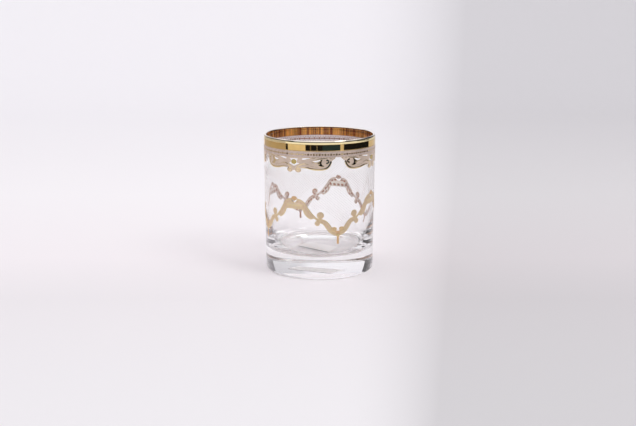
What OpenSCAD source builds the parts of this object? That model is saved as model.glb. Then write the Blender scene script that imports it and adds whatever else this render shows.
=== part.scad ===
// Moroccan tea glass: a straight tumbler on a thick solid base, with a fired gold print.
// Millimetres, +Z up. The origin is the middle of the base, on the table.
// The print runs round the outside in four repeats. Its angles are counted from the first
// panel, and its heights go down from the lip.

/* [Glass] */
// Height of the bare glass
glass_h = 97.8; // [85:0.1:130]
// Diameter of the bare glass at the lip
lip_d = 79.6; // [72:0.1:100]
// How much narrower the glass is at the foot
foot_taper = 1.2; // [0:0.1:6]
// Thickness of the wall at the lip
wall_t = 1.5; // [1:0.1:2]
// Thickness of the wall where the bowl begins
wall_low_t = 1.7; // [1:0.1:3]
// Height of the inside floor over the table
floor_h = 15; // [8:0.1:20]
// Diameter of the flat of the inside floor
floor_d = 59; // [40:0.5:68]
// Height over the floor at which the wall begins to round in
bowl_h = 31; // [5:0.5:45]
// Radius of the outer edge of the foot
heel_r = 1.8; // [0.8:0.1:3.5]
// Diameter of the hollow under the base
punt_d = 62; // [44:0.5:64]
// Depth of the hollow under the base
punt_h = 1.2; // [0.6:0.1:3]

/* [Gilding] */
// Thickness of a gold layer
film_t = 0.2; // [0.1:0.05:0.4]
// How far the lip gilding reaches down outside
lip_gild_h = 2.4; // [2:0.1:4]
// How far the lip gilding reaches down inside
lip_gild_in_h = 1.1; // [1.1:0.1:3]
// Height of the polished band
band_h = 4.2; // [2:0.1:6]
// Height of the matte strip
strip_h = 4.4; // [3.4:0.1:7]

/* [Dots] */
// Width of a polished dot
dot_w = 0.9; // [0.4:0.05:1.2]
// Height of a tall dot
dot_tall_h = 1.2; // [0.6:0.05:2]
// Height of a short dot
dot_short_h = 0.7; // [0.4:0.05:1.8]
// How far the middle of the dots is below the top of the strip
dot_drop = 2.6; // [2:0.1:3]
// How far a dot stands out of the strip
dot_t = 0.1; // [0.05:0.05:0.3]

/* [Frieze] */
// Height of a frieze panel
panel_h = 9.1; // [7:0.1:11]
// Width of a curl at the foot of a panel
curl_w = 4.7; // [3.5:0.1:5.5]
// Height of a curl at the foot of a panel
curl_h = 3.5; // [2.5:0.1:4.2]
// Width of the stud in a panel
stud_w = 4.1; // [2.5:0.1:4.6]
// Height of the stud in a panel
stud_h = 3.3; // [1.8:0.1:3.8]

/* [Garland] */
// Clear wall between the frieze panels and the top of the garland
garland_gap = 19.9; // [12:0.1:24]
// Height of the garland from its low edge to the top of an arch
garland_h = 26.4; // [20:0.1:28]
// Diameter of the upper rosette
rosette_d = 4.9; // [3.6:0.1:5.4]
// Diameter of the lower rosette
small_rosette_d = 3.7; // [2.8:0.1:4.2]
// Width of the crown on an arch
crown_w = 4.4; // [3:0.1:5]
// Height of the crown on an arch
crown_h = 2.8; // [2:0.1:3]
// Width of the opening under the crown
opening_w = 4.7; // [3:0.1:5]
// Height of the opening under the crown
opening_h = 2.2; // [1.4:0.1:2.6]
// Width of an almond scroll
scroll_w = 3.9; // [3:0.1:4.2]
// Height of an almond scroll
scroll_h = 3.2; // [2.4:0.1:3.6]
// Diameter of the bead at a low point
bead_d = 2.5; // [1.8:0.1:2.8]
// Width of the drop under the bead
drop_w = 1.5; // [0.8:0.1:2]
// Length of the drop under the bead
drop_l = 5; // [3:0.1:7]

/* [Label] */
// Length of the paper sticker under the base
label_l = 27; // [15:0.5:30]
// Width of the sticker
label_w = 14; // [8:0.5:18]
// Thickness of the sticker
label_t = 0.1; // [0.05:0.05:0.3]
// How far the middle of the sticker is in front of the axis
label_front = 5.3; // [0:0.1:12]

/* [Hidden] */
$fn = 96;
repeats = 4;

// Room by which a cutting body runs past what it cuts
over = 1;
foot_r = (lip_d - foot_taper) / 2;
lip_r = wall_t / 2;
lip_z = glass_h - lip_r;
floor_r = floor_d / 2;
bowl_z = floor_h + bowl_h;
punt_r = punt_d / 2;
punt_ball_r = (punt_r * punt_r + punt_h * punt_h) / (2 * punt_h);
label_x = -1.4;
label_turn = -31;

// The print's levels, from the lip down
band_top = glass_h - lip_gild_h;
strip_top = band_top - band_h;
panel_top = strip_top - strip_h;
panel_foot = panel_top - panel_h;
arch_top = panel_foot - garland_gap;
arch_foot = arch_top - garland_h;

// The print's angles: it starts left of the front, and it was laid on by hand, so it slips a
// little on its way round the glass, and its garland climbs a little towards the back
print_angle = -26.3;
slip_from_angle = 22;
slip_angle = 2.15;
slip_wave_angle = 1.2;
climb_h = 1.4;
half_turn = 180 / repeats;
mm_per_degree = PI * lip_d / 360;
print_reach = lip_d / 2 + film_t + over;
dots = 128;

// Shares of half a repeat across, and of the panel's height down from its top
panel_edge_shares = [
    [0, 1.033], [0.04, 1], [0.1, 0.86], [0.18, 0.845], [0.245, 0.84], [0.325, 0.87], [0.42, 0.95],
    [0.53, 0.995], [0.61, 1], [0.69, 0.967], [0.758, 0.89], [0.807, 0.747], [0.84, 0.571],
    [0.858, 0.396], [0.856, 0.275], [0.878, 0.23], [0.9, 0.176], [0.925, 0.09], [0.933, 0]
];
shield_shares = [
    [0, 0.703], [0.14, 0.489], [0.079, 0.44], [0.078, 0.231], [0.104, 0.181], [0.102, 0.115]
];
top_slot_shares = [
    [0.2, 0.104], [0.216, 0.203], [0.289, 0.165], [0.391, 0.071], [0.289, 0.055]
];
side_slot_shares = [
    [0.609, 0.17], [0.591, 0.275], [0.522, 0.368], [0.44, 0.302], [0.522, 0.231]
];
curl_shares = [0.104, 0.989];
stud_share = 0.374;

// Shares of half a repeat across, and of the garland's height up from its foot
arch_top_shares = [
    [0, 1], [0.098, 0.992], [0.138, 0.984], [0.182, 0.966], [0.227, 0.936], [0.267, 0.895],
    [0.293, 0.833], [0.333, 0.769], [0.378, 0.697], [0.424, 0.625], [0.464, 0.576],
    [0.504, 0.527], [0.538, 0.496], [0.578, 0.485], [0.633, 0.473], [0.682, 0.455],
    [0.718, 0.436], [0.762, 0.398], [0.807, 0.341], [0.842, 0.282], [0.871, 0.231],
    [0.911, 0.17], [0.956, 0.129], [1, 0.106]
];
arch_foot_shares = [
    [0, 0.719], [0.111, 0.719], [0.184, 0.718], [0.213, 0.695], [0.227, 0.653],
    [0.253, 0.591], [0.29, 0.538], [0.334, 0.492], [0.371, 0.47], [0.402, 0.451],
    [0.424, 0.47], [0.469, 0.477], [0.504, 0.455], [0.531, 0.424], [0.567, 0.383],
    [0.602, 0.36], [0.656, 0.337], [0.691, 0.292], [0.727, 0.227], [0.762, 0.167],
    [0.807, 0.106], [0.86, 0.061], [0.913, 0.027], [0.958, 0.008], [1, 0]
];
crown_share = 1.004;

// Shares of half the opening's width across, and of its height down from the crown's foot
opening_shares = [
    [-1, -0.25], [-0.47, 0], [0, 0.27], [0.47, 0], [1, -0.25], [0.58, 0.45], [0, 0.85],
    [-0.58, 0.45]
];
rosette_shares = [0.611, 0.568];
small_rosette_shares = [0.544, 0.356];
scroll_shares = [0.087, 0.193];
web_shares = [[-0.031, 0.008], [-0.071, 0.155], [0, 0.144], [0.071, 0.155], [0.031, 0.008]];
bead_share = 0.027;

// Radius of the outer wall at a height, and of the inner wall
function wall_r(z) = foot_r + (lip_d / 2 - foot_r) * (z - heel_r) / (lip_z - heel_r);
function inner_r(z) =
    wall_r(z) - wall_low_t + (wall_low_t - wall_t) * (z - bowl_z) / (lip_z - bowl_z);

// Where an angle of the design lies on the glass
function slip(a) =
    slip_angle * (1 - cos(a - slip_from_angle))
    + slip_wave_angle * (1 - cos(2 * (a - slip_from_angle)));
function print_turn(a) = print_angle + a + slip(a) - slip(0);
function garland_z(a, share) =
    arch_foot + share * garland_h + climb_h * pow((1 - cos(a)) / 2, 3);

// A smooth curve through points, open or closed, in a few steps from each to the next
function bend(a, b, c, d, t) =
    b + (c - a) * t / 2 + (2 * a - 5 * b + 4 * c - d) * t * t / 2
    + (3 * b - 3 * c + d - a) * t * t * t / 2;
function smooth(p, steps) = concat(
    [for (i = [0 : len(p) - 2]) for (j = [0 : steps - 1])
        bend(p[max(i - 1, 0)], p[i], p[i + 1], p[min(i + 2, len(p) - 1)], j / steps)],
    [p[len(p) - 1]]
);
function smooth_ring(p, steps) =
    [for (i = [0 : len(p) - 1]) for (j = [0 : steps - 1])
        bend(p[(i + len(p) - 1) % len(p)], p[i], p[(i + 1) % len(p)], p[(i + 2) % len(p)],
             j / steps)];

// The same points on the other side, from the last back to this one
function mirrored(p, first = 0) = [for (i = [len(p) - 1 : -1 : first]) [-p[i][0], p[i][1]]];

// Points of the design, as an angle and a height, from shares of a panel or of the garland
function on_panel(shares, middle) =
    [for (p = shares) [middle + p[0] * half_turn, panel_top - p[1] * panel_h]];
function on_garland(shares, middle) =
    [for (p = shares)
        [middle + p[0] * half_turn, garland_z(middle + p[0] * half_turn, p[1])]];
function oval(angle, z, w, h) =
    [for (t = [0 : 10 : 350]) [angle + w / 2 * cos(t) / mm_per_degree, z + h / 2 * sin(t)]];
function under_crown(middle) =
    [for (p = opening_shares)
        [
            middle + p[0] * opening_w / 2 / mm_per_degree,
            garland_z(middle, crown_share) - crown_h / 2 - p[1] * opening_h
        ]];

// A ring of the wall's own slope, from one height to another, with its inner and outer face
// these distances out of the wall
module wall_ring(z_low, z_high, t_in, t_out, angle = 360) {
    rotate_extrude(angle = angle)
        polygon([
            [wall_r(z_low) + t_in, z_low], [wall_r(z_low) + t_out, z_low],
            [wall_r(z_high) + t_out, z_high], [wall_r(z_high) + t_in, z_high]
        ]);
}

// A body that stands outward at an angle and cuts an outline of the design out of the gold
module stamp(outline, middle) {
    c = print_turn(middle);
    rotate([0, 0, c])
        rotate([90, 0, 0])
            linear_extrude(height = print_reach)
                polygon([
                    for (p = outline)
                        [(wall_r(p[1]) + film_t) * sin(print_turn(p[0]) - c), p[1]]
                ]);
}

module round_stamp(angle, z, d) {
    rotate([0, 0, print_turn(angle)])
        translate([0, 0, z])
            rotate([90, 0, 0])
                cylinder(d = d, h = print_reach);
}

module gold_skin(z_low, z_high) {
    wall_ring(z_low, z_high, 0, film_t);
}

// The inside wall goes down straight and rounds in to the flat floor as a quarter of an oval
module glass_profile() {
    difference() {
        union() {
            polygon([
                [0, 0], [foot_r - heel_r, 0], [foot_r, heel_r],
                [lip_d / 2, lip_z], [lip_d / 2 - wall_t, lip_z], [0, lip_z]
            ]);
            translate([foot_r - heel_r, heel_r]) circle(heel_r);
            translate([lip_d / 2 - lip_r, lip_z]) circle(lip_r);
        }
        polygon(concat(
            [[0, floor_h]],
            [for (t = [90 : -360 / $fn : 0])
                [floor_r + (inner_r(bowl_z) - floor_r) * cos(t), bowl_z - bowl_h * sin(t)]],
            [[inner_r(lip_z), lip_z], [0, lip_z]]
        ));
        translate([0, lip_z]) square([inner_r(lip_z), lip_r + over]);
    }
}

module glass_tumbler() {
    color([0.86, 0.9, 0.93, 0.4])
        difference() {
            rotate_extrude() glass_profile();
            translate([0, 0, punt_h - punt_ball_r]) sphere(punt_ball_r);
        }
}

module lip_gilding() {
    color("goldenrod")
        rotate_extrude()
            difference() {
                union() {
                    intersection() {
                        translate([lip_d / 2 - lip_r, lip_z]) circle(lip_r + film_t);
                        translate([0, lip_z]) square([lip_d, lip_d]);
                    }
                    polygon([
                        [wall_r(band_top) - lip_r, band_top], [wall_r(band_top) + film_t, band_top],
                        [wall_r(lip_z) + film_t, lip_z], [wall_r(lip_z) - lip_r, lip_z]
                    ]);
                    polygon([
                        [inner_r(glass_h - lip_gild_in_h) - film_t, glass_h - lip_gild_in_h],
                        [inner_r(glass_h - lip_gild_in_h) + lip_r, glass_h - lip_gild_in_h],
                        [inner_r(lip_z) + lip_r, lip_z], [inner_r(lip_z) - film_t, lip_z]
                    ]);
                }
                translate([lip_d / 2 - lip_r, lip_z]) circle(lip_r);
                polygon([
                    [inner_r(bowl_z), bowl_z], [wall_r(bowl_z), bowl_z],
                    [wall_r(lip_z), lip_z], [inner_r(lip_z), lip_z]
                ]);
            }
}

module rim_band() {
    color("gold") gold_skin(strip_top, band_top);
}

module bead_strip() {
    color("darkkhaki") gold_skin(panel_top, strip_top);
}

module bead_row() {
    dot_angle = dot_w / mm_per_degree;
    dot_z = strip_top - dot_drop;
    color("gold")
        for (i = [0 : dots - 1]) {
            h = i % 2 == 0 ? dot_tall_h : dot_short_h;
            rotate([0, 0, i * 360 / dots - dot_angle / 2])
                wall_ring(dot_z - h / 2, dot_z + h / 2, film_t, film_t + dot_t, dot_angle);
        }
}

module panel_skin() {
    gold_skin(panel_foot - curl_h, panel_top);
}

module frieze_panel(i) {
    middle = 2 * half_turn * i;
    edge = smooth(panel_edge_shares, 4);
    rise = [[edge[len(edge) - 1][0], -over / panel_h]];
    color("darkkhaki") {
        difference() {
            intersection() {
                panel_skin();
                stamp(
                    on_panel(concat(edge, rise, mirrored(rise), mirrored(edge, 1)), middle), middle
                );
            }
            stamp(on_panel(concat(shield_shares, mirrored(shield_shares, 1)), middle), middle);
            for (slot = [top_slot_shares, side_slot_shares]) {
                stamp(on_panel(smooth_ring(slot, 4), middle), middle);
                stamp(on_panel(smooth_ring(mirrored(slot), 4), middle), middle);
            }
        }
        for (side = [-1, 1])
            intersection() {
                panel_skin();
                stamp(
                    oval(
                        middle + side * curl_shares[0] * half_turn,
                        panel_top - curl_shares[1] * panel_h, curl_w, curl_h
                    ),
                    middle
                );
            }
    }
}

module frieze_stud(i) {
    middle = 2 * half_turn * i;
    z = panel_top - stud_share * panel_h;
    color("gold")
        intersection() {
            panel_skin();
            stamp(oval(middle, z, stud_w, stud_h), middle);
        }
}

// The bodies that cut out the motifs of the garland, shared by each motif and by the arches
module crown_stamp(i) {
    middle = 2 * half_turn * i;
    stamp(oval(middle, garland_z(middle, crown_share), crown_w, crown_h), middle);
}

module rosette_stamps(i) {
    middle = 2 * half_turn * i;
    for (side = [-1, 1]) {
        high = middle + side * rosette_shares[0] * half_turn;
        low = middle + side * small_rosette_shares[0] * half_turn;
        round_stamp(high, garland_z(high, rosette_shares[1]), rosette_d);
        round_stamp(low, garland_z(low, small_rosette_shares[1]), small_rosette_d);
    }
}

module pendant_stamps(i) {
    low = half_turn * (2 * i + 1);
    bead_z = garland_z(low, bead_share);
    drop_half = drop_w / 2 / mm_per_degree;
    round_stamp(low, bead_z, bead_d);
    stamp([
        [low - drop_half, bead_z], [low + drop_half, bead_z],
        [low + drop_half, bead_z - bead_d / 2 - drop_l],
        [low - drop_half, bead_z - bead_d / 2 - drop_l]
    ], low);
}

module knot_stamps(i) {
    low = half_turn * (2 * i + 1);
    z = garland_z(low, scroll_shares[1]);
    for (side = [-1, 1])
        stamp(oval(low + side * scroll_shares[0] * half_turn, z, scroll_w, scroll_h), low);
    stamp(on_garland(web_shares, low), low);
}

module garland_skin() {
    gold_skin(arch_foot - bead_d - drop_l, arch_top + climb_h + crown_h);
}

module garland_arch(i) {
    middle = 2 * half_turn * i;
    top = smooth(arch_top_shares, 4);
    foot = smooth(arch_foot_shares, 4);
    outline = concat(
        mirrored(top, 1), top, [for (k = [len(foot) - 1 : -1 : 0]) foot[k]],
        [for (k = [1 : len(foot) - 1]) [-foot[k][0], foot[k][1]]]
    );
    color("burlywood")
        difference() {
            intersection() {
                garland_skin();
                stamp(on_garland(outline, middle), middle);
            }
            stamp(smooth_ring(under_crown(middle), 4), middle);
            crown_stamp(i);
            rosette_stamps(i);
            knot_stamps(i - 1);
            knot_stamps(i);
            pendant_stamps(i - 1);
            pendant_stamps(i);
        }
}

module arch_crown(i) {
    color("peru")
        intersection() {
            garland_skin();
            crown_stamp(i);
        }
}

module rosette_group(i) {
    color("tan")
        intersection() {
            garland_skin();
            rosette_stamps(i);
        }
}

module scroll_knot(i) {
    color("tan")
        difference() {
            intersection() {
                garland_skin();
                knot_stamps(i);
            }
            pendant_stamps(i);
        }
}

module pendant(i) {
    color("gold")
        intersection() {
            garland_skin();
            pendant_stamps(i);
        }
}

module base_label() {
    color("white")
        intersection() {
            translate([label_x, -label_front, 0])
                rotate([0, 0, label_turn])
                    translate([-label_l / 2, -label_w / 2, 0])
                        cube([label_l, label_w, punt_h + label_t]);
            difference() {
                translate([0, 0, punt_h - punt_ball_r]) sphere(punt_ball_r);
                translate([0, 0, punt_h - punt_ball_r]) sphere(punt_ball_r - label_t);
            }
        }
}

glass_tumbler();
lip_gilding();
rim_band();
bead_strip();
bead_row();
for (i = [0 : repeats - 1]) {
    frieze_panel(i);
    frieze_stud(i);
    garland_arch(i);
    arch_crown(i);
    rosette_group(i);
    scroll_knot(i);
    pendant(i);
}
base_label();
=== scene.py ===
import math
import bpy
import numpy as np
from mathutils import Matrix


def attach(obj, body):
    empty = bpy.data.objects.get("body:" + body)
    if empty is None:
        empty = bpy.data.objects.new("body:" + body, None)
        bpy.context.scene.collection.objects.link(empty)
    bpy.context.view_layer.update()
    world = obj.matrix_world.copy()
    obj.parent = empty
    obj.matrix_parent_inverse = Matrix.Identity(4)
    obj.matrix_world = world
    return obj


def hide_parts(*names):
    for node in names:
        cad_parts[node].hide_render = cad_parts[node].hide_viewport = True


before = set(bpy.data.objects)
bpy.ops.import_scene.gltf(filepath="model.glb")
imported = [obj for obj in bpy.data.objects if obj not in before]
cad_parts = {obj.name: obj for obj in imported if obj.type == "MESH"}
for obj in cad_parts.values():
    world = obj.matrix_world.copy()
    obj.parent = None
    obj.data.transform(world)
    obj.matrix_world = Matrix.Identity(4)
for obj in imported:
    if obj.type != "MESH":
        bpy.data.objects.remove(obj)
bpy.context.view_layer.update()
print("frame loaded:", len(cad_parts), "nodes")

# All lengths below are millimetres, and a mesh is brought to metres when it is made.
# The print's own angle is a, in degrees from its first panel; its paper coordinate is
# x = a * perDegree along the wall and z up.
mm = 0.001
glass = {
    "height": 97.8, "lipRadius": 39.8, "footRadius": 39.2, "wallTop": 1.5, "wallLow": 1.7,
    "floor": 15.0, "floorRadius": 29.5, "bowl": 31.0, "heel": 1.8, "puntRadius": 31.0,
    "puntDepth": 1.2, "puntRound": 3.0, "segments": 320,
}
paper = {"round": math.tau * glass["lipRadius"], "film": 0.2, "sink": 0.02}
perDegree = paper["round"] / 360
levels = {"band": 95.4, "strip": 91.2, "panel": 86.8}  # the upper edge of each
slip = {"start": -26.3, "phase": 22, "slow": 2.15, "quick": 1.2}  # how the print lies, in degrees
climbTop = 1.4  # how far the garland, laid on by hand, has climbed at the back
lipZ = glass["height"] - glass["wallTop"] / 2
bowlZ = glass["floor"] + glass["bowl"]


def wallRadius(z):
    # straight line from the foot to the lip
    share = (z - glass["heel"]) / (lipZ - glass["heel"])
    return glass["footRadius"] + (glass["lipRadius"] - glass["footRadius"]) * share


def innerRadius(z):
    # the outer line less a wall that thins evenly from the top of the bowl to the lip
    share = (z - bowlZ) / (lipZ - bowlZ)
    return wallRadius(z) - glass["wallLow"] + (glass["wallLow"] - glass["wallTop"]) * share


def printTurn(a):
    # the print starts left of the front and slips by two slow waves on its way round
    def wave(b):
        t = np.radians(b - slip["phase"])
        return slip["slow"] * (1 - np.cos(t)) + slip["quick"] * (1 - np.cos(2 * t))
    return slip["start"] + a + wave(a) - wave(0)


def climbAt(a):
    # the climb is nothing at the front, grows with the cube of half of 1 - cos a, and is whole behind
    return climbTop * ((1 - np.cos(np.radians(a))) / 2) ** 3


def arc(cx, cz, radius, start, stop, count):
    # points of a circle from one angle to another, in degrees
    t = np.radians(np.linspace(start, stop, count))
    return np.stack([cx + radius * np.cos(t), cz + radius * np.sin(t)], 1)


def makeMesh(name, points, faces, marks=None, backFaces=None):
    # points in millimetres; faces is a list of index arrays, of triangles or of quads
    loops = np.concatenate([f.ravel() for f in faces])
    sizes = np.concatenate([np.full(len(f), f.shape[1]) for f in faces])
    mesh = bpy.data.meshes.new(name)
    mesh.vertices.add(len(points))
    mesh.vertices.foreach_set("co", (points * mm).astype(np.float32).ravel())
    mesh.loops.add(len(loops))
    mesh.loops.foreach_set("vertex_index", loops.astype(np.int32))
    mesh.polygons.add(len(sizes))
    mesh.polygons.foreach_set("loop_start", (np.cumsum(sizes) - sizes).astype(np.int32))
    mesh.polygons.foreach_set("use_smooth", np.ones(len(sizes), bool))
    if backFaces is not None:
        mesh.polygons.foreach_set("material_index", backFaces.astype(np.int32))
    mesh.update(calc_edges=True)
    for key, values in (marks or {}).items():
        mesh.attributes.new(key, "FLOAT", "POINT").data.foreach_set("value", values.astype(np.float32))
    mesh.validate()
    piece = bpy.data.objects.new(name, mesh)
    bpy.context.scene.collection.objects.link(piece)
    return piece


def aroundAxis(turn, r, z):
    # points at an angle t, a radius and a height: x = r sin t, y = -r cos t, so 0 is the front
    return np.stack(np.broadcast_arrays(r * np.sin(turn), -r * np.cos(turn), z), -1)


def gridQuads(index):
    # the four corners of every cell in a grid of point numbers
    return np.stack([index[:-1, :-1], index[1:, :-1], index[1:, 1:], index[:-1, 1:]], -1).reshape(-1, 4)


def onlyUsed(count, faces):
    # the numbers of the points that the faces use, and the faces with those points renumbered
    used = np.unique(np.concatenate([f.ravel() for f in faces]))
    number = np.zeros(count, int)
    number[used] = np.arange(len(used))
    return used, [number[f] for f in faces]


def turned(name, profile, closed, back=None):
    # a profile of (radius, z) carried round the axis; back lists its spans that show the underside
    segments, n = glass["segments"], len(profile)
    turn = np.arange(segments) / segments * math.tau
    r, z = profile.T
    points = aroundAxis(turn[:, None], r, z).reshape(-1, 3)
    ring = np.arange(segments)[:, None] * n
    after = np.roll(np.arange(segments), -1)[:, None] * n
    low = np.arange(n if closed else n - 1)
    high = np.roll(np.arange(n), -1)[:len(low)]
    quads = np.stack([ring + low, after + low, after + high, ring + high], -1).reshape(-1, 4)
    faces = [quads]
    if not closed:
        # the two ends lie on the axis: their rings become one point each
        start, stop = len(points), len(points) + 1
        points = np.concatenate([points, [[0, 0, z[0]], [0, 0, z[-1]]]])
        columns = np.tile(low, segments)
        inner = quads[(columns > 0) & (columns < n - 2)]
        bottom = np.stack([np.full(segments, start), after[:, 0] + 1, ring[:, 0] + 1], 1)
        top = np.stack([ring[:, 0] + n - 2, after[:, 0] + n - 2, np.full(segments, stop)], 1)
        used, faces = onlyUsed(len(points), [inner, bottom, top])
        points = points[used]
    backFaces = None if back is None else np.tile(np.isin(low, back), segments)
    return makeMesh(name, points, faces, backFaces=backFaces)


def nearest(x, step):
    # signed distance to the nearest multiple of a step
    return ((x / step + 0.5) % 1 - 0.5) * step


def stripe(x, half):
    # distance to a stripe of that half width which lies where x is 0, negative inside it
    return np.abs(x) - half


# Materials: every one is worked out from the piece's own place or from its attributes.

def newMaterial(name):
    material = bpy.data.materials.new(name)
    material.use_nodes = True
    return material, material.node_tree


def setInputs(tree, node, inputs):
    # inputs go by name or by number, and each takes a socket or a plain value
    for key, value in inputs.items():
        if isinstance(value, bpy.types.NodeSocket):
            tree.links.new(value, node.inputs[key])
        else:
            node.inputs[key].default_value = value


def dressed(material, inputs):
    # the shader takes the finished tones and values
    tree = material.node_tree
    setInputs(tree, next(n for n in tree.nodes if n.type == "BSDF_PRINCIPLED"), inputs)
    return material


def addNode(tree, kind, inputs, **settings):
    node = tree.nodes.new("ShaderNode" + kind)
    for key, value in settings.items():
        setattr(node, key, value)
    setInputs(tree, node, inputs)
    return node


def opaque(colour):
    return colour if isinstance(colour, bpy.types.NodeSocket) else (*colour, 1.0)


def mixColour(tree, share, first, second):
    inputs = {0: share, 6: opaque(first), 7: opaque(second)}
    return addNode(tree, "Mix", inputs, data_type="RGBA").outputs[2]


def mixValue(tree, share, first, second):
    return addNode(tree, "Mix", {0: share, 2: first, 3: second}, data_type="FLOAT").outputs[0]


def mapValue(tree, value, low, high):
    # 0 to 1 becomes low to high
    return addNode(tree, "MapRange", {"Value": value, "To Min": low, "To Max": high}).outputs[0]


def calculate(tree, kind, first, second):
    return addNode(tree, "Math", {0: first, 1: second}, operation=kind).outputs[0]


def sharpen(tree, value, low, high):
    # low to high becomes 0 to 1
    return addNode(tree, "MapRange", {"Value": value, "From Min": low, "From Max": high}).outputs[0]


def objectPlace(tree):
    return addNode(tree, "TexCoord", {}).outputs["Object"]


def attribute(tree, name):
    return addNode(tree, "Attribute", {}, attribute_name=name).outputs["Fac"]


def noiseAt(tree, place, scale, detail):
    return addNode(tree, "TexNoise", {"Vector": place, "Scale": scale, "Detail": detail}).outputs["Fac"]


def objectNoise(tree, scale, detail=2.0):
    return noiseAt(tree, objectPlace(tree), scale, detail)


def drawnNoise(tree, scale):
    # noise drawn out along an axis: the scale is one number for each of x, y and z
    drawn = addNode(tree, "Mapping", {"Vector": objectPlace(tree), "Scale": scale}).outputs[0]
    return noiseAt(tree, drawn, 1.0, 1.0)


def bumped(tree, height, distance, strength):
    inputs = {"Height": height, "Distance": distance, "Strength": strength}
    return addNode(tree, "Bump", inputs).outputs[0]


def tinted(colour, strength):
    return [min(1.0, c * strength) for c in colour]


def goldMaterial(name, matte, bright, matteRough, brightRough=0.02, grain=0.35, metal=0.5,
                 etch=(0.8, 0.68, 0.55)):
    # matte ground with polished lines: the "shine" attribute says where the gold was burnished,
    # and "mark" where the pattern lies, which darkens the matte ground a little
    material, tree = newMaterial(name)
    shine, pattern = attribute(tree, "shine"), attribute(tree, "mark")
    cloud, stipple = objectNoise(tree, 160.0), objectNoise(tree, 5200.0, 1.0)
    ground = mixColour(tree, mapValue(tree, cloud, -0.6, 1.6), tinted(matte, 0.88), tinted(matte, 1.1))
    etched = mixColour(tree, pattern, ground, [c * s for c, s in zip(matte, etch)])
    rough = mapValue(tree, stipple, matteRough - 0.06, matteRough + 0.06)
    return dressed(material, {
        "Base Color": mixColour(tree, shine, etched, bright),
        "Normal": bumped(tree, stipple, 0.00003, mixValue(tree, shine, grain, 0.0)),
        "Roughness": mixValue(tree, shine, rough, brightRough),
        "Metallic": mixValue(tree, shine, metal, 1.0)})


def coordinates(tree):
    # the x, y and z of the place, in metres
    return addNode(tree, "SeparateXYZ", {"Vector": objectPlace(tree)}).outputs


def heightRamp(tree, low, high):
    # 0 below the lower height, 1 above the higher one
    return sharpen(tree, coordinates(tree)["Z"], low, high)


def streakMaterial(name, dark, light, paintedShadeLevels):
    # the underside of the polished band, streaked up and down where the gold ran, and darkened nearly
    # to black with painted shade over the levels where the lip turns inwards
    material, tree = newMaterial(name)
    fine = drawnNoise(tree, (1500.0, 1500.0, 12.0))
    broad = drawnNoise(tree, (420.0, 420.0, 4.0))
    streaks = sharpen(tree, mixValue(tree, 0.5, fine, broad), 0.4, 0.61)
    tone = mixColour(tree, streaks, dark, light)
    # painted shade: near black above the heights where the lip turns inwards
    tone = mixColour(tree, heightRamp(tree, *paintedShadeLevels), tone, tinted(dark, 0.2))
    return dressed(material, {"Base Color": tone, "Roughness": 0.3, "Metallic": 0.8})


def backMaterial(name, ground, mark):
    # the print's underside as it shows through the glass: dull brown marks on a pale metal ground
    material, tree = newMaterial(name)
    marks = attribute(tree, "mark")
    cloud = mapValue(tree, objectNoise(tree, 420.0), -0.5, 1.5)
    brown = mixColour(tree, cloud, tinted(mark, 0.75), tinted(mark, 1.25))
    return dressed(material, {
        "Base Color": mixColour(tree, marks, ground, brown), "Roughness": 0.4,
        "Metallic": mixValue(tree, marks, 0.85, 0.1), "Specular IOR Level": 0.1})


def polishedMaterial(name, colour, rough, brush=0.0, crestHighlight=None, crestHighlightLevels=None):
    # burnished gold with faint brush marks round the glass; the crest colour is a painted highlight, laid
    # over the top of the lip
    material, tree = newMaterial(name)
    cloud = objectNoise(tree, 300.0)
    tone = mixColour(tree, mapValue(tree, cloud, -0.5, 1.5), tinted(colour, 0.95), tinted(colour, 1.05))
    if crestHighlight:
        # painted highlight: above these heights the lip takes the pale crest colour
        tone = mixColour(tree, heightRamp(tree, *crestHighlightLevels), tone, crestHighlight)
    rings = drawnNoise(tree, (60.0, 60.0, 4000.0))
    return dressed(material, {
        "Base Color": tone, "Roughness": mapValue(tree, cloud, rough * 0.6, rough * 1.4),
        "Metallic": 1.0, "Normal": bumped(tree, rings, 0.000002, brush)})


def plainMaterial(name, scale, detail, spread, dark, light, rough, marked=None):
    # a dull finish whose two tones run into each other as fine noise; marked is the colour that
    # the "mark" attribute brings in
    material, tree = newMaterial(name)
    noise = mapValue(tree, objectNoise(tree, scale, detail), *spread)
    tone = mixColour(tree, noise, dark, light)
    if marked:
        tone = mixColour(tree, attribute(tree, "mark"), tone, marked)
    return dressed(material, {"Base Color": tone, "Roughness": rough})


def glassMaterial():
    return dressed(newMaterial("clearGlass")[0], {
        "Base Color": (0.998, 1.0, 0.999, 1.0), "Roughness": 0.0, "IOR": 1.5,
        "Transmission Weight": 1.0})


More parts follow.
